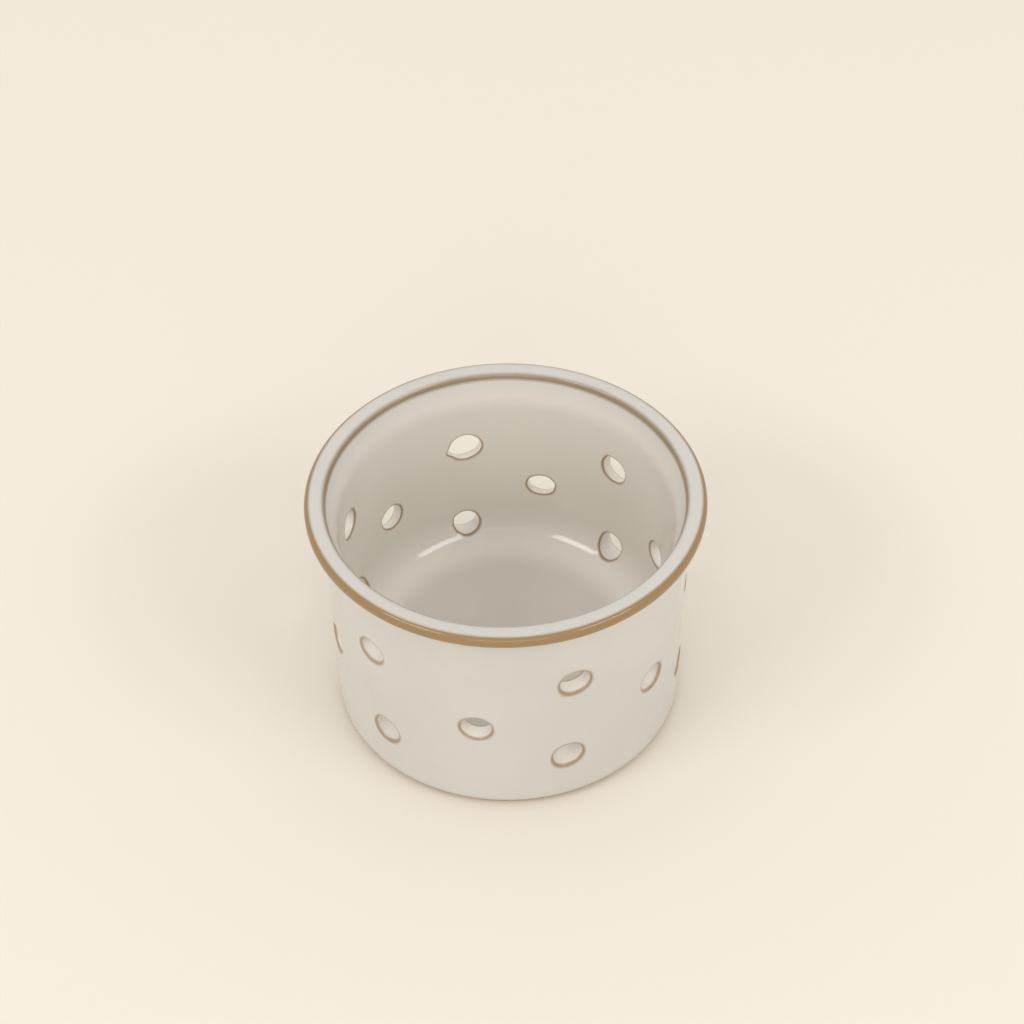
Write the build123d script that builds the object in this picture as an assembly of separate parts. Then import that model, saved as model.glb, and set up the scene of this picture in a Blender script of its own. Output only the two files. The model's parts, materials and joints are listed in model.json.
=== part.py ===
from build123d import *
import os
from math import cos, hypot, radians, sin, tan

# A flower frog: a thrown stoneware cup with three rows of stem holes through its wall.
# Millimetres, +Z up, origin at the middle of the foot, the mouth at the top.

# outside of the cup, glaze included
rim_radius = 56.0
cup_height = 75.0
lip_overhang = 4.2
wall_taper = 1.8
wall_top_radius = rim_radius - lip_overhang
wall_foot_radius = wall_top_radius - wall_taper
foot_round = 3.8

# lip: the wall turned out into a rolled edge with a flat top
lip_thickness = 3.5
lip_width = 5.3
lip_round = lip_thickness / 2 - 0.05
mouth_radius = rim_radius - lip_width
mouth_round = 1.4
neck_drop = 1.3
neck_height = cup_height - lip_thickness - neck_drop
neck_round = 3.0

# inside of the cup
wall_thickness = 4.2
flare_height = 9.0
flare_round = 12.0
floor_height = 14.0
floor_corner = 12.0

# underside, trimmed hollow inside the foot
foot_width = 9.0
foot_inner_radius = wall_foot_radius - foot_width
foot_inner_round = 1.0
recess_depth = 6.0
recess_slope = 3.0
recess_radius = foot_inner_radius - recess_slope
recess_round = 2.5

# glaze
glaze_thickness = 0.4
glaze_line = 1.4

# stem holes
bore_radius = 4.0
upper_bore_extra = 0.4
outer_edge_round = 1.0
inner_edge_round = 0.5
glazed_edge_extra = 0.25
bore_start_radius = wall_foot_radius - wall_thickness - floor_corner
holes_per_row = 6
bore_rise = 14.0
upper_row_drop = 25.7
lower_row_rise = 5.0
middle_row_sag = 1.15
upper_row_height = cup_height - upper_row_drop
lower_row_height = floor_height + lower_row_rise
middle_row_height = (upper_row_height + lower_row_height) / 2 - middle_row_sag
row_stagger = 30.0
first_azimuth = 45.0

# the rows were laid out by eye: degrees round the wall and millimetres up its outside, hole by hole
upper_drift = (2.5, -0.5, -2.0, -2.5, 6.0, 7.0)
middle_drift = (6.0, 2.0, 1.5, 3.0, 4.5, 7.0)
lower_drift = (1.5, 0.5, -4.0, 1.5, 4.0, 1.5)
upper_lift = (0.1, 0.1, 0.1, -0.3, -0.3, -0.8)
middle_lift = (-1.0, 0.5, 1.0, 1.0, 0.0, -0.5)
lower_lift = (0.6, 1.0, 1.3, -0.4, 0.0, -0.6)


def outer_wall_radius(height):
    """Radius of the outside of the straight wall at a height."""
    return wall_foot_radius + (wall_top_radius - wall_foot_radius) * height / neck_height


def cup_section():
    """Half of the cup's cross-section with its glaze on, from the axis out."""
    corners = [
        ((0, recess_depth), 0),
        ((recess_radius, recess_depth), recess_round),
        ((foot_inner_radius, 0), foot_inner_round),
        ((wall_foot_radius, 0), foot_round),
        ((wall_top_radius, neck_height), neck_round),
        ((rim_radius, cup_height - lip_thickness), lip_round),
        ((rim_radius, cup_height), lip_round),
        ((mouth_radius, cup_height), mouth_round),
        (
            (
                outer_wall_radius(cup_height - flare_height) - wall_thickness,
                cup_height - flare_height,
            ),
            flare_round,
        ),
        ((outer_wall_radius(floor_height) - wall_thickness, floor_height), floor_corner),
        ((0, floor_height), 0),
    ]
    outline = make_face(Polyline(*[point for point, _ in corners], close=True))
    for (x, y), radius in corners:
        if radius:
            vertex = min(outline.vertices(), key=lambda v: hypot(v.X - x, v.Y - y))
            outline = fillet(vertex, radius)
    return outline


def bare_clay_zone():
    """The part of the section plane that no glaze reaches: the foot and the underside."""
    foot_band = Pos(rim_radius / 2, glaze_line / 2) * Rectangle(rim_radius, glaze_line)
    underside_top = (recess_depth + floor_height) / 2
    underside = Pos(foot_inner_radius / 2, underside_top / 2) * Rectangle(
        foot_inner_radius, underside_top
    )
    return foot_band + underside


def hole_layout():
    """(azimuth, height, bore radius) of each stem hole, row by row."""
    rows = (
        (
            upper_row_height,
            first_azimuth,
            upper_drift,
            upper_lift,
            bore_radius + upper_bore_extra,
        ),
        (middle_row_height, first_azimuth - row_stagger, middle_drift, middle_lift, bore_radius),
        (lower_row_height, first_azimuth, lower_drift, lower_lift, bore_radius),
    )
    spacing = 360 / holes_per_row
    return [
        (start + spacing * index + drift[index], height + lift[index], radius)
        for height, start, drift, lift, radius in rows
        for index in range(holes_per_row)
    ]


def bore_axis(azimuth, height):
    """A plane on the cup's axis whose normal runs out along the hole, which climbs inwards."""
    rise = radians(bore_rise)
    outward = Vector(cos(rise), 0, -sin(rise)).rotate(Axis.Z, azimuth)
    upward = Vector(sin(rise), 0, cos(rise)).rotate(Axis.Z, azimuth)
    start_height = height + outer_wall_radius(height) * tan(rise)
    return Plane(origin=(0, 0, start_height), x_dir=upward, z_dir=outward)


def mouth_edges(solid, plane, radius, outside):
    """The edges where a bore breaks out of the wall, on its outside or its inside."""
    found = []
    for edge in solid.edges().filter_by(GeomType.LINE, reverse=True):
        ends = [plane.to_local_coords(edge @ place) for place in (0, 0.5)]
        on_bore = all(
            abs(hypot(point.X, point.Y) - radius) < 0.01 and point.Z > bore_start_radius
            for point in ends
        )
        middle = edge @ 0.5
        middle_of_wall = outer_wall_radius(middle.Z) - wall_thickness / 2
        if on_bore and (hypot(middle.X, middle.Y) > middle_of_wall) == outside:
            found.append(edge)
    return found


def with_stem_holes(solid, skin, outer_round, inner_round):
    """The solid with every stem hole cut, its bore wider by skin, and its edges softened."""
    length = rim_radius - bore_start_radius
    for azimuth, height, bore in hole_layout():
        plane = bore_axis(azimuth, height)
        radius = bore + skin
        cutter = Pos(0, 0, bore_start_radius) * Cylinder(
            radius, length, align=(Align.CENTER, Align.CENTER, Align.MIN)
        )
        solid = solid - plane * cutter
        solid = fillet(mouth_edges(solid, plane, radius, True), outer_round)
        solid = fillet(mouth_edges(solid, plane, radius, False), inner_round)
    return solid


section = cup_section()
clay_section = offset(section, -glaze_thickness, kind=Kind.INTERSECTION) + (
    section & bare_clay_zone()
)
glazed_cup = revolve(Plane.XZ * section, Axis.Z)
clay_cup = revolve(Plane.XZ * clay_section, Axis.Z)

glazed_cup = with_stem_holes(
    glazed_cup, 0.0, outer_edge_round + glazed_edge_extra, inner_edge_round
)
stoneware_body = with_stem_holes(
    clay_cup, glaze_thickness, outer_edge_round, inner_edge_round
)
glaze_coat = glazed_cup - stoneware_body

os.makedirs("parts", exist_ok=True)
for name, shape in (("stoneware_body", stoneware_body), ("glaze_coat", glaze_coat)):
    print(name, len(shape.solids()), "solid", round(shape.volume / 1000, 1), "cm3")
    export_step(shape, f"parts/{name}.step")
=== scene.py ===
import json
import bpy
import numpy as np
from mathutils import Matrix, Vector

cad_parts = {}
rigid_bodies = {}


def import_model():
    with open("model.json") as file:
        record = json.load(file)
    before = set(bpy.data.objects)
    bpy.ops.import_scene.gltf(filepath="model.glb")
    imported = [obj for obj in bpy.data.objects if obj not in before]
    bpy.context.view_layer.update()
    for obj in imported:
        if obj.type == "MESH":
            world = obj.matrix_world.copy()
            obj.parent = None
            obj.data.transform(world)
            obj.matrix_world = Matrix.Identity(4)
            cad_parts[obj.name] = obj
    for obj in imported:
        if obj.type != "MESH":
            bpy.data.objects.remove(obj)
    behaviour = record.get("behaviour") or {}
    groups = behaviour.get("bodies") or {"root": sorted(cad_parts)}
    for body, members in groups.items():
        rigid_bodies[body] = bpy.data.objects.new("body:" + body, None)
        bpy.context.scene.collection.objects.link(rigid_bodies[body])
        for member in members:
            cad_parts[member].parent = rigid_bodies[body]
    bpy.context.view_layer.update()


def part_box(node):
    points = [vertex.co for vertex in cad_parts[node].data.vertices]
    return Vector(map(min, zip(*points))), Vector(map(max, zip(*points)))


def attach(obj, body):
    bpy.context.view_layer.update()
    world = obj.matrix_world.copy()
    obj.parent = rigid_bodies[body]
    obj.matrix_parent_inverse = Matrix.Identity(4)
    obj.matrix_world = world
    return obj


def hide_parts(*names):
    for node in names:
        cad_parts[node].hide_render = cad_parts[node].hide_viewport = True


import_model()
print("cup frame loaded")

mm = 0.001
glazeLow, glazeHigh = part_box("glaze_coat")
rimRadius = glazeHigh.x / mm
cupHeight = glazeHigh.z / mm

cup = {                                   # millimetres, glaze included
    "wallTop": rimRadius - 4.2,           # outside of the straight wall under the lip
    "wallFoot": rimRadius - 6.0,          # and at the foot
    "neckHeight": cupHeight - 4.8,
    "neckRound": 3.0,
    "footRound": 3.8,
    "lipThick": 3.5,
    "lipRound": 1.7,
    "mouth": rimRadius - 5.3,
    "mouthRound": 1.4,
    "wall": 4.2,
    "flareDeep": 9.0,
    "flareRound": 12.0,
    "floorHeight": 14.0,
    "floorCorner": 12.0,
    "recessDeep": 6.0,
    "recess": rimRadius - 18.0,
    "recessRound": 2.5,
    "footInner": rimRadius - 15.0,
    "footInnerRound": 1.0,
    "glazeLine": glazeLow.z / mm,         # the coat stops this far above the table
    "glazeThick": 0.36,
    "columns": 240,                       # columns of faces round the cup
    "rowStep": 1.4,                       # tallest row of the coat
    "hiddenRowStep": 2.1,                 # tallest row where nothing shows
    "rowTurn": 0.27,                      # most that the outline may turn in one row, radians
}

hand = {                                  # what the potter's hand leaves, millimetres
    "oval": 0.07,
    "lipWave": 0.10,
    "ringHeight": 0.018,
    "ringPitch": 8.5,
}

stemHoles = {                             # degrees round the cup and millimetres up it, row after row
    "azimuth": (47.5, 104.5, 163.0, 222.5, 291.0, 352.0,
                21.0, 77.0, 136.5, 198.0, 259.5, 322.0,
                46.5, 105.5, 161.0, 226.5, 289.0, 346.5),
    "height": (49.4, 49.4, 49.4, 49.0, 49.0, 48.5,
               32.0, 33.5, 34.0, 34.0, 33.0, 32.5,
               19.6, 20.0, 20.3, 18.6, 19.0, 18.4),         # on the outside of the wall
    "radius": (4.3, 4.7, 4.35, 3.9, 4.1, 4.2,
               4.0, 3.9, 4.0, 4.0, 4.05, 3.95,
               4.1, 3.85, 4.0, 4.15, 4.2, 4.0),
    "climb": 0.249,                       # each hole rises inwards by this share of its length
    "stretch": (0.02, 0.03, 0.01, 0.06, 0.05, 0.03,
                0.01, 0.07, 0.02, 0.03, 0.04, 0.04,
                0.02, 0.03, 0.02, 0.01, 0.02, 0.03),       # how far each is drawn out of round
    "lean": (95, 10, 80, 5, 12, 20,
             85, -8, 75, 10, 0, 15,
             80, 20, 60, 40, 25, 5),                       # which way, degrees
    "chip": (0.35, 0.95, 0.0, 0.0, 0.0, 0.0,
             0.0, 0.30, 0.35, 0.0, 0.0, 0.0,
             0.0, 0.25, 0.0, 0.0, 0.0, 0.0),               # torn corner on the inside edge
    "chipWay": (60, -12, 0, 0, 0, 0,
                0, 165, 20, 0, 0, 0,
                0, 35, 0, 0, 0, 0),
    "chipWidth": 0.24,                    # radians
    "outerEdge": 1.05,                    # rounding of the edge outside
    "innerEdge": 0.55,                    # and inside
    "edgeUneven": 0.16,
    "blockColumns": 6,                    # columns of faces given up on each side of a hole
    "blockReach": 8.4,                    # and rows, as a distance
    "settleTurns": 30,
}


def roundedOutline(corners, step=0.04):
    # Each corner of the outline gives way to an arc tangent to both its sides; straight runs join the arcs.
    places = np.array([corner[:2] for corner in corners], float)
    points = [places[:1]]
    for index in range(1, len(corners) - 1):
        here, radius = places[index], corners[index][2]
        back = places[index - 1] - here
        ahead = places[index + 1] - here
        back, ahead = back / np.linalg.norm(back), ahead / np.linalg.norm(ahead)
        half = np.arccos(np.clip(back @ ahead, -1, 1)) / 2
        centre = here + (back + ahead) / np.linalg.norm(back + ahead) * radius / np.sin(half)
        first = here + back * radius / np.tan(half) - centre
        last = here + ahead * radius / np.tan(half) - centre
        sweep = np.pi - 2 * half
        share = np.linspace(0, 1, max(3, int(sweep * radius / step)))[:, None]
        arc = (np.sin((1 - share) * sweep) * first + np.sin(share * sweep) * last) / np.sin(sweep)
        points.append(centre + arc)
    points.append(places[-1:])
    return np.concatenate(points)


def evenly(points, step=0.05):
    # The outline read again at equal distances along it; gives distance, radius and height.
    along = np.concatenate([[0], np.cumsum(np.hypot(*np.diff(points, axis=0).T))])
    even = np.linspace(0, along[-1], int(along[-1] / step) + 1)
    return even, np.interp(even, along, points[:, 0]), np.interp(even, along, points[:, 1])


def cupOutline():
    # The cup's section from the middle of its underside, out over the foot, up, over the lip and down to the
    # middle of the floor.
    c = cup
    flareHeight = cupHeight - c["flareDeep"]
    outer = lambda height: c["wallFoot"] + (c["wallTop"] - c["wallFoot"]) * height / c["neckHeight"]
    return evenly(roundedOutline([
        (0, c["recessDeep"], 0),
        (c["recess"], c["recessDeep"], c["recessRound"]),
        (c["footInner"], 0, c["footInnerRound"]),
        (c["wallFoot"], 0, c["footRound"]),
        (c["wallTop"], c["neckHeight"], c["neckRound"]),
        (rimRadius, cupHeight - c["lipThick"], c["lipRound"]),
        (rimRadius, cupHeight, c["lipRound"]),
        (c["mouth"], cupHeight, c["mouthRound"]),
        (outer(flareHeight) - c["wall"], flareHeight, c["flareRound"]),
        (outer(c["floorHeight"]) - c["wall"], c["floorHeight"], c["floorCorner"]),
        (0, c["floorHeight"], 0),
    ]))


alongCup, radiusAlong, heightAlong = cupOutline()
lipAt = alongCup[np.argmax(np.where(radiusAlong > rimRadius - 3, heightAlong + radiusAlong * 1e-4, 0))]
footAt = alongCup[np.argmin(np.where(radiusAlong > cup["footInner"] + 2, heightAlong, 99))]
onOutside = (alongCup < lipAt) & (alongCup > footAt)
onInside = alongCup > lipAt
glazeStart = np.interp(cup["glazeLine"], heightAlong[onOutside], alongCup[onOutside])


def outsideAt(height):
    # Distance along the outline and radius of the outside of the wall at a height.
    return (np.interp(height, heightAlong[onOutside], alongCup[onOutside]),
            np.interp(height, heightAlong[onOutside], radiusAlong[onOutside]))


def insideAt(height):
    # The same on the inside of the wall.
    return (np.interp(height, heightAlong[onInside][::-1], alongCup[onInside][::-1]),
            np.interp(height, heightAlong[onInside][::-1], radiusAlong[onInside][::-1]))


def rowPlaces(start, tallest):
    # Places of the rows along the outline: even on the walls, closer where it turns, wider towards the middle
    # of the floor.
    turn = np.unwrap(np.arctan2(np.gradient(heightAlong), np.gradient(radiusAlong)))
    bend = np.abs(np.gradient(turn, alongCup))
    bend = np.convolve(bend, np.ones(15) / 15, mode="same")
    widest = tallest * np.interp(radiusAlong, (8, 34), (2.2, 1.0))
    step = np.minimum(widest, cup["rowTurn"] / np.maximum(bend, 1e-3))
    count = np.concatenate([[0], np.cumsum(np.diff(alongCup) / ((step[1:] + step[:-1]) / 2))])
    count -= np.interp(start, alongCup, count)
    rows = int(np.ceil(count[-1]))
    return np.interp(np.arange(rows + 1) * count[-1] / rows, count, alongCup)


def around(azimuth, along):
    # A point of the cup's skin: the outline's radius and height at that place, turned to that azimuth.
    azimuth, along = np.broadcast_arrays(azimuth, along)
    radius = np.interp(along, alongCup, radiusAlong)
    return np.stack([radius * np.cos(azimuth), radius * np.sin(azimuth),
                     np.interp(along, alongCup, heightAlong)], -1)


def holeRings(azimuthLoop, alongOut, alongIn, bands):
    # Rings of points carried from the skin outside, over the rounded edge, through the wall and out over the
    # inside edge. Every ring follows the hole's outline: distance from the hole's axis as a function of the
    # angle round it. On the edges a quarter turn trades distance from the axis for depth into the wall.
    h = {key: np.array(value, float)[:, None] for key, value in stemHoles.items() if isinstance(value, tuple)}
    sides = azimuthLoop.shape[1]
    angle = np.radians(-135 + 360 * np.arange(sides) / sides)[None, :]
    azimuth = np.radians(h["azimuth"])
    outward = np.stack([np.cos(azimuth), np.sin(azimuth), 0 * azimuth], -1)
    across = np.stack([-np.sin(azimuth), np.cos(azimuth), 0 * azimuth], -1)
    shape = 1 + h["stretch"] * np.cos(2 * (angle - np.radians(h["lean"])))
    shape = shape + 0.012 * np.cos(3 * angle + azimuth * 5) + 0.008 * np.cos(4 * angle + azimuth * 3)
    away = np.angle(np.exp(1j * (angle - np.radians(h["chipWay"]))))
    chip = h["chip"] * np.exp(-(away / stemHoles["chipWidth"]) ** 2)
    softer = 1 + stemHoles["edgeUneven"] * np.sin(angle + azimuth * 7)
    outer, inner = stemHoles["outerEdge"] * softer, stemHoles["innerEdge"] * (2 - softer)
    rings, soft, holePaintedLight = [], [], []

    def onSkin(distance, depth, outside):
        # Sideways place and height of the hole's outline, and how far out it meets the skin. Inside, the
        # outline has climbed with the hole, so height and reach settle by turns.
        lateral, level = distance * np.cos(angle), h["height"] + distance * np.sin(angle)
        if outside:
            return lateral, level, np.sqrt(outsideAt(level)[1] ** 2 - lateral ** 2) - depth
        height = level + stemHoles["climb"] * cup["wall"]
        for _ in range(stemHoles["settleTurns"]):
            radius = insideAt(np.maximum(height, cup["floorHeight"] + 0.3))[1]
            reach = np.sqrt(radius ** 2 - lateral ** 2) + depth
            height = (height + level + stemHoles["climb"] * (outsideAt(h["height"])[1] - reach)) / 2
        return lateral, height, reach

    def ringAt(distance, depth, outside):
        lateral, height, reach = (part[..., None] for part in onSkin(distance, depth, outside))
        return outward * reach + across * lateral + height * np.array([0, 0, 1.0])

    def skinRing(distance, outside, share, loopAlong):
        lateral, height, _ = onSkin(distance, 0, outside)
        place, radius = (outsideAt if outside else insideAt)(height)
        turned = azimuth + np.arcsin(lateral / radius)
        return around(turned + (azimuthLoop - turned) * share, place + (loopAlong - place) * share)

    def keep(ring, softness, depth):
        rings.append(ring)
        soft.append(softness)
        holePaintedLight.append(depth)

    bore = h["radius"] * shape
    far = bore + chip
    for share in np.linspace(1, 0, bands["skin"] + 1)[1:]:
        keep(skinRing(bore + outer, True, share, alongOut), 0.62 * (1 - share) ** 4, 0)
    for turn in np.linspace(0, np.pi / 2, bands["outerEdge"] + 1)[1:]:
        quarter = turn * 2 / np.pi
        keep(ringAt(bore + outer * (1 - np.sin(turn)), outer * (1 - np.cos(turn)), True),
             0.62 + 0.38 * np.sin(2.2 * turn) - 0.28 * quarter ** 3, quarter)
    first, last = rings[-1], ringAt(far, inner, False)
    # the tunnel rings take the full share of the holes' painted light
    for share in np.linspace(0, 1, bands["tunnel"] + 1)[1:]:
        keep(first + (last - first) * share, 0.30 * (2 * share - 1) ** 2, 1)
    for turn in np.linspace(np.pi / 2, 0, bands["innerEdge"] + 1)[1:]:
        keep(ringAt(far + inner * (1 - np.sin(turn)), inner * (1 - np.cos(turn)), False),
             0.25 + 0.75 * np.sin(turn + 0.6), turn * 2 / np.pi)
    for share in np.linspace(0, 1, bands["skin"] + 1)[1:-1]:
        keep(skinRing(far + inner, False, share, alongIn), 0.12 * (1 - share), 0)
    return np.stack(rings, 1), np.array(soft), np.array(holePaintedLight)


def handThrown(points):
    # Slight ovalness, a faint wave in the lip and shallow finger rings that climb the wall as one spiral.
    azimuth, height = np.arctan2(points[:, 1], points[:, 0]), points[:, 2]
    radius = np.hypot(points[:, 0], points[:, 1])
    middle = np.interp(height, (0, cupHeight), (cup["wallFoot"], cup["wallTop"])) - cup["wall"] / 2
    face = np.clip((radius - middle) / cup["wall"], -0.5, 0.5) * 2
    fade = np.clip((height - 6) / 8, 0, 1) * np.clip((cupHeight - 8 - height) / 8, 0, 1) * (radius > 20)
    risen = 2 * np.pi * height / hand["ringPitch"]
    spiral = np.sin(risen + azimuth + 0.8 * np.sin(2 * azimuth + height / 11))
    oval = np.cos(2 * azimuth + 0.4) + 0.6 * np.cos(3 * azimuth + 2.1)
    grown = radius + hand["oval"] * oval * radius / rimRadius
    grown = grown + hand["ringHeight"] * spiral * fade * (0.55 + 0.45 * face)
    scale = grown / np.maximum(radius, 1e-9)
    lift = hand["lipWave"] * (height / cupHeight) ** 2 * np.cos(2 * azimuth + 1.9)
    return np.stack([points[:, 0] * scale, points[:, 1] * scale, height + lift], -1)


def cupSkin(start, tallest, bands, extraRows=()):
    # The cup's skin as a grid of azimuth by distance along the outline, with each stem hole's ring stack let
    # into it. Gives points, four-sided faces, three-sided faces, and for each point its place along the
    # outline, its softness and how far into a hole it lies.
    columns, half = cup["columns"], stemHoles["blockColumns"]
    rows = rowPlaces(start, tallest)
    rows = np.unique(np.concatenate([rows, extraRows]))
    downPole = radiusAlong[np.searchsorted(alongCup, start)] < 1e-6
    rowHalf = int(round(stemHoles["blockReach"] / tallest))
    azimuth = np.radians(np.array(stemHoles["azimuth"]))
    height = np.array(stemHoles["height"])
    column = np.rint(azimuth / (2 * np.pi) * columns).astype(int)
    rowOut = np.abs(rows[None] - outsideAt(height)[0][:, None]).argmin(1)
    low = np.clip(cup["floorHeight"] + cup["floorCorner"] - height, 0, 9)
    heightIn = height + stemHoles["climb"] * (cup["wall"] + low * 0.25)    # the wall thickens low down
    rowIn = np.abs(rows[None] - insideAt(heightIn)[0][:, None]).argmin(1)

    right, up = np.arange(-half, half), np.arange(-rowHalf, rowHalf)
    stepColumn = np.concatenate([right, np.full(len(up), half), -right, np.full(len(up), -half)])
    stepRow = np.concatenate([np.full(len(right), -rowHalf), up, np.full(len(right), rowHalf), -up])
    loopColumn = (column[:, None] + stepColumn[None])
    loopOut, loopIn = rowOut[:, None] + stepRow[None], rowIn[:, None] - stepRow[None]
    turned = 2 * np.pi * loopColumn / columns
    rings, soft, holePaintedLight = holeRings(turned, rows[loopOut], rows[loopIn], bands)

    gridTurn = 2 * np.pi * np.arange(columns) / columns
    grid = around(gridTurn[None, :], rows[:, None])
    index = np.arange(grid.shape[0] * columns).reshape(grid.shape[0], columns)
    index[-1] = index[-1, 0]
    if downPole:
        index[0] = index[0, 0]
    loopColumn = loopColumn % columns
    ringCount, sides = rings.shape[1], rings.shape[2]
    ringIndex = index.size + np.arange(rings.shape[0] * ringCount * sides).reshape(rings.shape[:3])
    outerLoop, innerLoop = index[loopOut, loopColumn], index[loopIn, loopColumn]
    stack = np.concatenate([outerLoop[:, None], ringIndex, innerLoop[:, None]], 1)
    ahead = np.roll(stack, -1, axis=2)
    ringFaces = np.stack([stack[:, :-1], ahead[:, :-1], ahead[:, 1:], stack[:, 1:]], -1).reshape(-1, 4)

    kept = np.ones((len(rows) - 1, columns), bool)
    blockRow, blockColumn = np.arange(-rowHalf, rowHalf), np.arange(-half, half)
    aside = (column[:, None, None] + blockColumn[None, None, :]) % columns
    for centre in (rowOut, rowIn):
        kept[centre[:, None, None] + blockRow[None, :, None], aside] = False
    beside = np.roll(index, -1, axis=1)
    cells = np.stack([index[:-1], beside[:-1], beside[1:], index[1:]], -1)[kept]
    pole = (cells[:, 2] == cells[:, 3]) | (cells[:, 0] == cells[:, 1])
    threes = np.where((cells[:, 2] == cells[:, 3])[:, None], cells[:, [0, 1, 2]], cells[:, [0, 2, 3]])[pole]
    fours = np.concatenate([cells[~pole], ringFaces])

    points = np.concatenate([grid.reshape(-1, 3), rings.reshape(-1, 3)])
    places = np.concatenate([np.repeat(rows, columns), np.full(rings.size // 3, np.nan)])
    onGrid = np.zeros(index.size)
    softness, inTunnel = (
        np.concatenate([onGrid, np.broadcast_to(perRing[None, :, None], rings.shape[:3]).ravel()])
        for perRing in (soft, holePaintedLight))
    used = np.unique(np.concatenate([fours.ravel(), threes.ravel()]))
    renumber = np.zeros(len(points), int)
    renumber[used] = np.arange(len(used))
    border = renumber[index[0]] if not downPole else None
    return {"points": handThrown(points[used]), "fours": renumber[fours], "threes": renumber[threes],
            "places": places[used], "softness": softness[used], "holePaintedLight": inTunnel[used], "border": border}


def outwardNormals(skin):
    # Normal at each point: the sum of the cross products of its faces' diagonals.
    points, fours, threes = skin["points"], skin["fours"], skin["threes"]
    normals = np.zeros_like(points)
    first, second, third, fourth = (points[fours[:, corner]] for corner in range(4))
    crossFour = np.cross(third - first, fourth - second)
    first, second, third = (points[threes[:, corner]] for corner in range(3))
    crossThree = np.cross(second - first, third - first)
    for corner in range(4):
        np.add.at(normals, fours[:, corner], crossFour)
    for corner in range(3):
        np.add.at(normals, threes[:, corner], crossThree)
    return normals / np.linalg.norm(normals, axis=1, keepdims=True)


def makePiece(name, points, faces, values):
    # A smooth mesh object from points in millimetres, with one number per point for each named value.
    mesh = bpy.data.meshes.new(name)
    mesh.from_pydata((points * mm).tolist(), [], faces)
    mesh.update()
    for key, value in values.items():
        attribute = mesh.attributes.new(key, "FLOAT", "POINT")
        attribute.data.foreach_set("value", np.ascontiguousarray(value, np.float32))
    mesh.polygons.foreach_set("use_smooth", np.ones(len(mesh.polygons), bool))
    piece = bpy.data.objects.new(name, mesh)
    bpy.context.scene.collection.objects.link(piece)
    return piece


def bump(value, centre, width):
    # A smooth hump: one at the centre, and e to the minus square of the distance in widths elsewhere.
    return np.exp(-((value - centre) / width) ** 2)


fineBands = {"skin": 5, "outerEdge": 6, "tunnel": 4, "innerEdge": 5}
coarseBands = {"skin": 2, "outerEdge": 3, "tunnel": 2, "innerEdge": 3}

edge = {                                  # millimetres in from the lip's edge and down from its top
    "beadIn": 1.75, "beadFade": 0.9, "beadDown": 4.6, "beadFadeDown": 1.4,
    "mouthOut": 0.1, "mouthDown": 1.3, "mouthWidth": 1.35,
    "footWidth": 0.55,
    "cornerLightTop": 21.5, "cornerLightIn": 32.0,      # where the floor corner's painted light starts: up from the table and out from the middle
}

# where the coat thins over an edge, and where light and shade are painted, as numbers on its points
skin = cupSkin(glazeStart, cup["rowStep"], fineBands)
x, y, z = skin["points"].T
radius = np.hypot(x, y)
beadOut = np.clip((radius - rimRadius + edge["beadIn"]) / edge["beadFade"], 0, 1)
beadOut = beadOut * np.clip((z - cupHeight + edge["beadDown"]) / edge["beadFadeDown"], 0, 1)
fromMouth = np.hypot(radius - cup["mouth"] - edge["mouthOut"], z - cupHeight + edge["mouthDown"])
# brown line in the lip's inner corner: the glaze breaking thin there, with painted shade of the corner
mouthIn = bump(fromMouth, 0, edge["mouthWidth"]) * (radius < cup["mouth"] + 1.6) * (z > cupHeight - 4)
footLine = bump(z, cup["glazeLine"], edge["footWidth"]) * (radius > cup["footInner"] + 3)
# painted light: the floor corner is made paler, standing in for the bright ring of light the glossy corner
# shows
cornerPaintedLight = np.clip((edge["cornerLightTop"] - z) / 6, 0, 1) * np.clip((radius - edge["cornerLightIn"]) / 5, 0, 1)
cornerPaintedLight = cornerPaintedLight * (radius < cup["wallFoot"] - 2.5)
middle = np.interp(z, (0, cupHeight), (cup["wallFoot"], cup["wallTop"])) - cup["wall"] / 2
# the inner half of the wall, where painted light makes the glaze paler than outside
insideLightMask = np.clip((middle - radius) / 2.4 + 0.5, 0, 1)

inner = cupSkin(glazeStart, cup["hiddenRowStep"], coarseBands)
innerPoints = inner["points"] - outwardNormals(inner) * cup["glazeThick"]
offset = len(skin["points"])
rim, innerRim = skin["border"], inner["border"] + offset
closing = np.stack([rim, innerRim, np.roll(innerRim, -1), np.roll(rim, -1)], -1)
coatFaces = (skin["fours"].tolist() + skin["threes"].tolist() + (inner["fours"][:, ::-1] + offset).tolist()
             + (inner["threes"][:, ::-1] + offset).tolist() + closing.tolist())
masks = {"bead": beadOut, "mouthBreakAndShade": mouthIn, "footLine": footLine, "holeEdge": skin["softness"],
         "cornerLight": cornerPaintedLight, "holePaintedLight": skin["holePaintedLight"], "insideLightMask": insideLightMask}
hidden = np.zeros(len(innerPoints))
glazeCoat = makePiece("glazeCoat", np.concatenate([skin["points"], innerPoints]), coatFaces,
                      {key: np.concatenate([mask, hidden]) for key, mask in masks.items()})
print("glaze coat:", len(glazeCoat.data.vertices), "points")

clay = cupSkin(0.0, cup["hiddenRowStep"], coarseBands, (glazeStart - 0.02, glazeStart + 0.02))
sunk = np.where(np.isnan(clay["places"]) | (clay["places"] > glazeStart), cup["glazeThick"] + 0.03, 0.0)
clayPoints = clay["points"] - outwardNormals(clay) * sunk[:, None]
clayBody = makePiece("clayBody", clayPoints, clay["fours"].tolist() + clay["threes"].tolist(), {})
print("clay body:", len(clayBody.data.vertices), "points")


# materials

def addNode(tree, kind, place=(0, 0), **values):
    # A node with its sockets and settings given by name.
    node = tree.nodes.new(kind)
    node.location = place
    for key, value in values.items():
        if key in node.inputs:
            node.inputs[key].default_value = value
        else:
            setattr(node, key, value)
    return node


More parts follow.
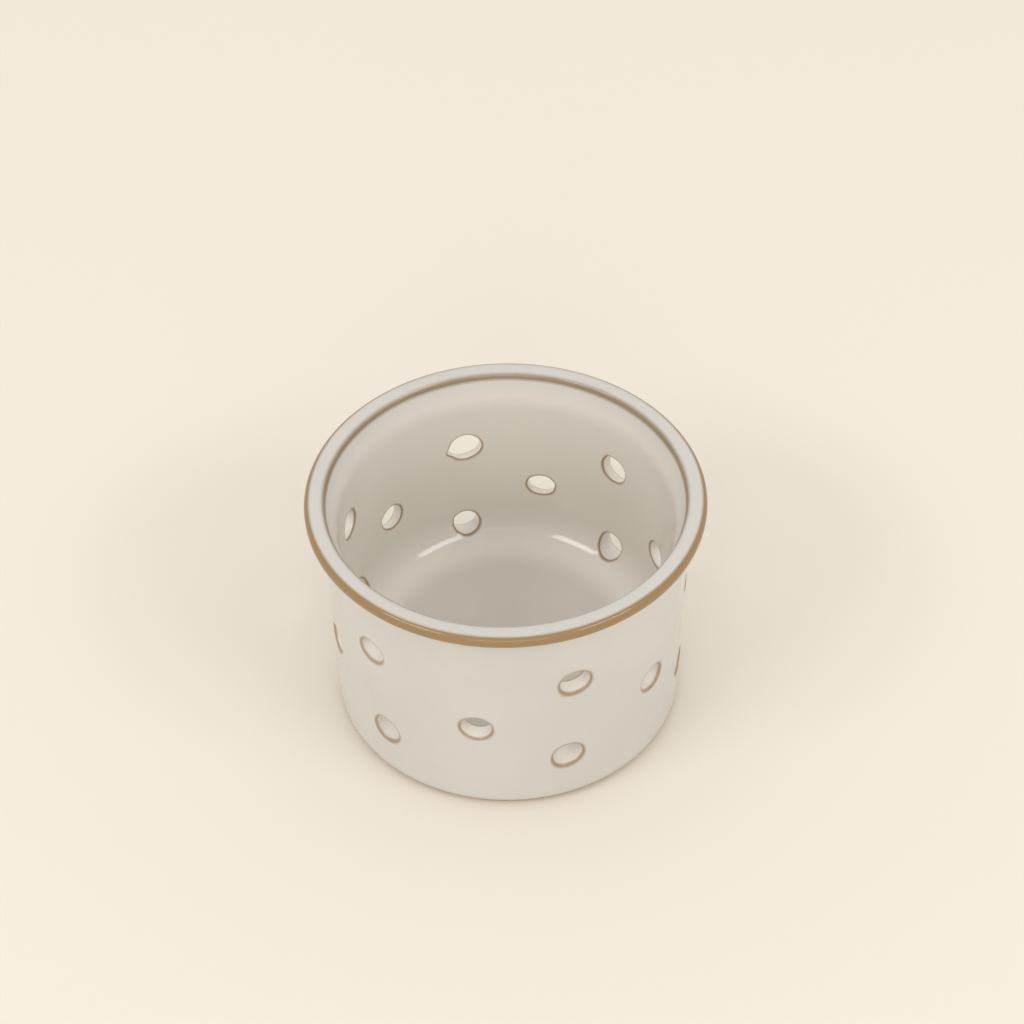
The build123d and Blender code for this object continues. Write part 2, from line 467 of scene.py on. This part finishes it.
def colourMix(tree, factor, first, second, place):
    # A mix of two colours, each a fixed one or another node's output.
    mix = addNode(tree, "ShaderNodeMix", place, data_type="RGBA")
    for socket, colour in zip([s for s in mix.inputs if s.type == "RGBA"], (first, second)):
        if isinstance(colour, tuple):
            socket.default_value = colour
        else:
            tree.links.new(colour, socket)
    tree.links.new(factor, mix.inputs["Factor"])
    return next(s for s in mix.outputs if s.type == "RGBA")


def newGroup(name, inputs, outputs):
    # An empty node group with its named sockets made, and the nodes that stand for them inside it.
    group = bpy.data.node_groups.new(name, "ShaderNodeTree")
    for label, kind, value in inputs:
        socket = group.interface.new_socket(label, in_out="INPUT", socket_type=kind)
        if value is not None:
            socket.default_value = value
    for label, kind in outputs:
        group.interface.new_socket(label, in_out="OUTPUT", socket_type=kind)
    return group, group.nodes.new("NodeGroupInput"), group.nodes.new("NodeGroupOutput")


def mottleGroup():
    # Cloudy unevenness of a fired surface: two sizes of noise added, spread round one half.
    group, entry, leave = newGroup("firedMottle", [
        ("Place", "NodeSocketVector", None), ("Cloud Size", "NodeSocketFloat", 60.0),
        ("Grain Size", "NodeSocketFloat", 900.0), ("Grain Share", "NodeSocketFloat", 0.35)],
        [("Shade", "NodeSocketFloat"), ("Grain", "NodeSocketFloat")])
    cloud = addNode(group, "ShaderNodeTexNoise", Detail=3.0, Roughness=0.55)
    grain = addNode(group, "ShaderNodeTexNoise", Detail=2.0, Roughness=0.6)
    mix = addNode(group, "ShaderNodeMix", data_type="FLOAT")
    link = group.links.new
    link(entry.outputs["Place"], cloud.inputs["Vector"])
    link(entry.outputs["Place"], grain.inputs["Vector"])
    link(entry.outputs["Cloud Size"], cloud.inputs["Scale"])
    link(entry.outputs["Grain Size"], grain.inputs["Scale"])
    link(entry.outputs["Grain Share"], mix.inputs["Factor"])
    link(cloud.outputs["Fac"], mix.inputs["A"])
    link(grain.outputs["Fac"], mix.inputs["B"])
    link(mix.outputs["Result"], leave.inputs["Shade"])
    link(grain.outputs["Fac"], leave.inputs["Grain"])
    return group


def speckGroup():
    # Small dark specks: the middles of scattered cells, kept only where a second noise is high.
    group, entry, leave = newGroup("ironSpecks", [
        ("Place", "NodeSocketVector", None), ("Spacing", "NodeSocketFloat", 260.0),
        ("Speck Size", "NodeSocketFloat", 0.12)], [("Specks", "NodeSocketFloat")])
    cells = addNode(group, "ShaderNodeTexVoronoi", feature="F1")
    chance = addNode(group, "ShaderNodeTexWhiteNoise", noise_dimensions="3D")
    rare = addNode(group, "ShaderNodeMath", operation="GREATER_THAN")
    rare.inputs[1].default_value = 0.72
    near = addNode(group, "ShaderNodeMath", operation="LESS_THAN")
    both = addNode(group, "ShaderNodeMath", operation="MULTIPLY")
    link = group.links.new
    link(entry.outputs["Place"], cells.inputs["Vector"])
    link(entry.outputs["Spacing"], cells.inputs["Scale"])
    link(cells.outputs["Position"], chance.inputs["Vector"])
    link(chance.outputs["Value"], rare.inputs[0])
    link(cells.outputs["Distance"], near.inputs[0])
    link(entry.outputs["Speck Size"], near.inputs[1])
    link(rare.outputs[0], both.inputs[0])
    link(near.outputs[0], both.inputs[1])
    link(both.outputs[0], leave.inputs["Specks"])
    return group


mottle, specks = mottleGroup(), speckGroup()

glaze = {
    "white": (0.600, 0.584, 0.548, 1),
    "whiteDeep": (0.578, 0.562, 0.524, 1),
    "inside": (0.700, 0.658, 0.602, 1),   # painted light: paler than the outside glaze, standing in for the brighter light inside the cup
    # painted light: pale colour for the floor corner and the hole tunnels
    "paintedBright": (0.795, 0.752, 0.698, 1),
    "ochre": (0.300, 0.185, 0.078, 1),
    # brown of the mouth's inner corner: thin glaze with painted shade
    "breakShadeBrown": (0.27, 0.185, 0.095, 1),
    "roughness": 0.085,
}


def whiteGlaze():
    # Glossy white with faint clouds. Painted light makes it paler inside the cup, at the floor corner and in
    # the holes;
    # ochre where it runs thin over an edge, brown with painted shade in the mouth's inner corner.
    material = bpy.data.materials.new("whiteGlaze")
    material.use_nodes = True
    tree = material.node_tree
    link = tree.links.new
    shader = tree.nodes["Principled BSDF"]
    shader.inputs["IOR"].default_value = 1.52
    place = addNode(tree, "ShaderNodeTexCoord", (-1400, 0))
    cloud = addNode(tree, "ShaderNodeGroup", (-1200, 200), node_tree=mottle)
    cloud.inputs["Cloud Size"].default_value = 26.0
    cloud.inputs["Grain Size"].default_value = 700.0
    cloud.inputs["Grain Share"].default_value = 0.15
    link(place.outputs["Object"], cloud.inputs["Place"])

    def value(name, y):
        return addNode(tree, "ShaderNodeAttribute", (-1400, y), attribute_name=name).outputs["Fac"]

    def blend(factor, a, b, y):
        return colourMix(tree, factor, a, b, (-500, y))

    def ragged(mask, amount, low, high, y):
        # The mask with the mottle added, then pulled between two levels, so its edge wanders.
        shift = addNode(tree, "ShaderNodeMath", (-1000, y), operation="MULTIPLY_ADD")
        shift.inputs[1].default_value = amount
        shift.inputs[2].default_value = -amount / 2
        link(cloud.outputs["Shade"], shift.inputs[0])
        add = addNode(tree, "ShaderNodeMath", (-850, y), operation="ADD")
        link(shift.outputs[0], add.inputs[0])
        link(mask, add.inputs[1])
        level = addNode(tree, "ShaderNodeMapRange", (-700, y), interpolation_type="SMOOTHSTEP")
        level.inputs["From Min"].default_value = low
        level.inputs["From Max"].default_value = high
        link(add.outputs[0], level.inputs["Value"])
        return level.outputs["Result"]

    bead = value("bead", -100)
    mouthBreakAndShade = value("mouthBreakAndShade", -250)
    footLine = value("footLine", -400)
    holeEdge = value("holeEdge", -550)
    cornerLight = value("cornerLight", -700)
    holePaintedLight = value("holePaintedLight", -850)
    insideLightMask = value("insideLightMask", -1000)
    spread = addNode(tree, "ShaderNodeMapRange", (-1000, 300), interpolation_type="SMOOTHSTEP")
    spread.inputs["From Min"].default_value = 0.38
    spread.inputs["From Max"].default_value = 0.62
    link(cloud.outputs["Shade"], spread.inputs["Value"])
    colour = blend(spread.outputs["Result"], glaze["white"], glaze["whiteDeep"], 400)
    # painted light: the inside of the cup is made paler than the outside
    colour = blend(insideLightMask, colour, glaze["inside"], 320)
    # painted light on the floor corner
    colour = blend(cornerLight, colour, glaze["paintedBright"], 250)
    # painted light: the hole tunnels are made paler, standing in for light bounced onto their floors
    holeLightShare = addNode(tree, "ShaderNodeMath", (-700, -850), operation="MULTIPLY")
    holeLightShare.inputs[1].default_value = 0.8
    link(holePaintedLight, holeLightShare.inputs[0])
    colour = blend(holeLightShare.outputs[0], colour, glaze["paintedBright"], 180)
    colour = blend(ragged(bead, 0.35, 0.12, 0.95, -100), colour, glaze["ochre"], 100)
    # mouth's inner corner: brown of thin glaze with painted shade
    colour = blend(ragged(mouthBreakAndShade, 0.35, 0.20, 0.90, -250), colour, glaze["breakShadeBrown"], -50)
    colour = blend(ragged(holeEdge, 0.3, 0.34, 1.15, -550), colour, glaze["ochre"], -200)
    colour = blend(ragged(footLine, 0.5, 0.3, 1.1, -400), colour, glaze["ochre"], -350)
    link(colour, shader.inputs["Base Color"])

    rough = addNode(tree, "ShaderNodeMapRange", (-500, -500))
    rough.inputs["To Min"].default_value = glaze["roughness"] - 0.03
    rough.inputs["To Max"].default_value = glaze["roughness"] + 0.05
    link(cloud.outputs["Shade"], rough.inputs["Value"])
    link(rough.outputs["Result"], shader.inputs["Roughness"])
    relief = addNode(tree, "ShaderNodeBump", (-300, -650), Strength=0.05, Distance=0.0002)
    link(cloud.outputs["Shade"], relief.inputs["Height"])
    link(relief.outputs["Normal"], shader.inputs["Normal"])
    return material


firedClay = {
    "buff": (0.50, 0.375, 0.245, 1),
    "toasted": (0.36, 0.235, 0.135, 1),
    "speck": (0.12, 0.075, 0.045, 1),
}


def bareClay():
    # Rough buff clay, toasted in patches, with small dark specks.
    material = bpy.data.materials.new("bareClay")
    material.use_nodes = True
    tree = material.node_tree
    link = tree.links.new
    shader = tree.nodes["Principled BSDF"]
    shader.inputs["IOR"].default_value = 1.45
    place = addNode(tree, "ShaderNodeTexCoord", (-1200, 0))
    cloud = addNode(tree, "ShaderNodeGroup", (-1000, 200), node_tree=mottle)
    cloud.inputs["Cloud Size"].default_value = 55.0
    cloud.inputs["Grain Size"].default_value = 1800.0
    cloud.inputs["Grain Share"].default_value = 0.45
    dots = addNode(tree, "ShaderNodeGroup", (-1000, -50), node_tree=specks)
    dots.inputs["Spacing"].default_value = 420.0
    dots.inputs["Speck Size"].default_value = 0.16
    link(place.outputs["Object"], cloud.inputs["Place"])
    link(place.outputs["Object"], dots.inputs["Place"])
    spread = addNode(tree, "ShaderNodeMapRange", (-800, 200))
    spread.inputs["From Min"].default_value = 0.35
    spread.inputs["From Max"].default_value = 0.65
    link(cloud.outputs["Shade"], spread.inputs["Value"])
    base = colourMix(tree, spread.outputs["Result"], firedClay["buff"], firedClay["toasted"], (-600, 200))
    speckled = colourMix(tree, dots.outputs["Specks"], base, firedClay["speck"], (-400, 200))
    link(speckled, shader.inputs["Base Color"])
    rough = addNode(tree, "ShaderNodeMapRange", (-400, -100))
    rough.inputs["To Min"].default_value = 0.75
    rough.inputs["To Max"].default_value = 0.95
    link(cloud.outputs["Grain"], rough.inputs["Value"])
    link(rough.outputs["Result"], shader.inputs["Roughness"])
    relief = addNode(tree, "ShaderNodeBump", (-250, -350), Strength=0.6, Distance=0.0002)
    link(cloud.outputs["Grain"], relief.inputs["Height"])
    link(relief.outputs["Normal"], shader.inputs["Normal"])
    return material


glazeCoat.data.materials.append(whiteGlaze())
clayBody.data.materials.append(bareClay())
print("materials made")

for piece, node, slotName in ((glazeCoat, "glaze_coat", "white_glaze"),
                              (clayBody, "stoneware_body", "fired_clay")):
    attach(piece, "root")
    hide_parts(node)

# floor, light and camera

studio = {
    "paper": (0.835, 0.775, 0.690, 1),
    "dome": (1.0, 0.985, 0.955, 1),
    "domeStrength": 0.88,
    "boxTurn": 54,                        # degrees either side of the front
    "boxRise": 41,
    "boxAway": 2.4,
    "boxSize": (1.10, 0.50),
    "leftPower": 10.0,
    "rightPower": 8.8,
    "fillSize": (1.6, 1.0),
    "fillPower": 6.0,
    "fillRise": 24,
}


def paperFloor():
    mesh = bpy.data.meshes.new("paperFloor")
    side = 3.0
    corners = [(-side, -side, 0), (side, -side, 0), (side, side, 0), (-side, side, 0)]
    mesh.from_pydata(corners, [], [(0, 1, 2, 3)])
    floor = bpy.data.objects.new("paperFloor", mesh)
    bpy.context.scene.collection.objects.link(floor)
    material = bpy.data.materials.new("creamPaper")
    material.use_nodes = True
    tree = material.node_tree
    shader = tree.nodes["Principled BSDF"]
    shader.inputs["Roughness"].default_value = 0.9
    shader.inputs["Specular IOR Level"].default_value = 0.2
    place = addNode(tree, "ShaderNodeTexCoord", (-800, 0))
    noise = addNode(tree, "ShaderNodeTexNoise", (-600, 0), Scale=3.0, Detail=2.0)
    tree.links.new(place.outputs["Object"], noise.inputs["Vector"])
    shade = tuple(c * 0.985 for c in studio["paper"][:3]) + (1,)
    tint = colourMix(tree, noise.outputs["Fac"], studio["paper"], shade, (-350, 0))
    tree.links.new(tint, shader.inputs["Base Color"])
    mesh.materials.append(material)
    return floor


def softBox(name, turn, rise, size, power):
    # A rectangular light aimed at the middle of the cup's foot.
    light = bpy.data.lights.new(name, "AREA")
    light.shape = "RECTANGLE"
    light.size, light.size_y = size
    light.energy = power
    light.color = (1.0, 0.98, 0.95)
    box = bpy.data.objects.new(name, light)
    turn, rise = np.radians(turn), np.radians(rise)
    towards = Vector((np.sin(turn) * np.cos(rise), -np.cos(turn) * np.cos(rise), np.sin(rise)))
    facing = towards.to_track_quat("Z", "Y").to_matrix().to_4x4()
    box.matrix_world = Matrix.Translation(towards * studio["boxAway"]) @ facing
    bpy.context.scene.collection.objects.link(box)
    return box


paperFloor()
softBox("leftBox", -studio["boxTurn"], studio["boxRise"], studio["boxSize"], studio["leftPower"])
softBox("rightBox", studio["boxTurn"], studio["boxRise"], studio["boxSize"], studio["rightPower"])
softBox("fill", 0, studio["fillRise"], studio["fillSize"], studio["fillPower"])

scene = bpy.context.scene
world = bpy.data.worlds.new("studio")
world.use_nodes = True
background = world.node_tree.nodes["Background"]
background.inputs["Color"].default_value = studio["dome"]
background.inputs["Strength"].default_value = studio["domeStrength"]
scene.world = world
scene.view_settings.view_transform = "Standard"
scene.view_settings.look = "None"

view = {
    "aim": (0.0017, 0.0, 0.06765),
    "away": 0.7267,
    "down": 44.15,                        # degrees below level
    "tilt": -0.93,                        # the picture leans this far
    "lens": 91.4,
}


def setCamera():
    # The camera looks at its aim from a distance away, down from level and leaning a little.
    camera = bpy.data.objects.new("camera", bpy.data.cameras.new("camera"))
    camera.data.lens, camera.data.sensor_width = view["lens"], 36
    camera.data.clip_start = 0.01
    down, tilt = np.radians(view["down"]), np.radians(view["tilt"])
    ahead = Vector((0, np.cos(down), -np.sin(down)))
    level, over = Vector((1, 0, 0)), Vector((0, np.sin(down), np.cos(down)))
    right = level * np.cos(tilt) + over * np.sin(tilt)
    top = over * np.cos(tilt) - level * np.sin(tilt)
    turn = Matrix((right, top, -ahead)).transposed().to_4x4()
    camera.matrix_world = Matrix.Translation(Vector(view["aim"]) - ahead * view["away"]) @ turn
    scene.collection.objects.link(camera)
    scene.camera = camera


setCamera()
print("floor, light and camera set")
